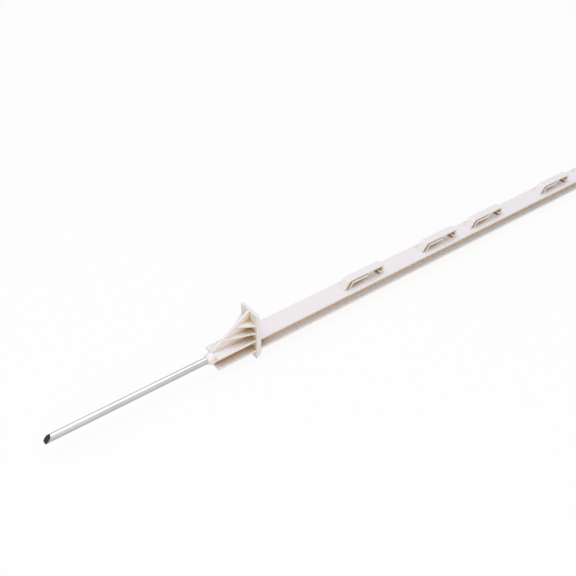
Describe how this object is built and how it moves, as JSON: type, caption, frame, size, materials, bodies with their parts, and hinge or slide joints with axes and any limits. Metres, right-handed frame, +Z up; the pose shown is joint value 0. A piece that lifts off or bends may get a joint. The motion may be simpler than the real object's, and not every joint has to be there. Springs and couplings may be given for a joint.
{
  "type": "step in fence post",
  "caption": "Step-in fence post: I-section plastic stake with moulded wire and tape clips, a ribbed foot step, a cap and a steel ground spike.",
  "frame": {"origin": "middle of the underside of the lying post: halfway between the tip of the spike and the cap, below the post's middle plane, at the level of the lower edge of the step", "axes": "+X along the post from the spike towards the cap, +Y across the post, +Z up, on the side of the clips"},
  "size_m": [1.3524, 0.03, 0.0548],
  "materials": {
    "white_plastic": "moulded, satin white",
    "bright_steel": "drawn, bright galvanised rod"
  },
  "bodies": {
    "root": {"post_moulding": "white_plastic", "ground_spike": "bright_steel"}
  },
  "joints": []
}
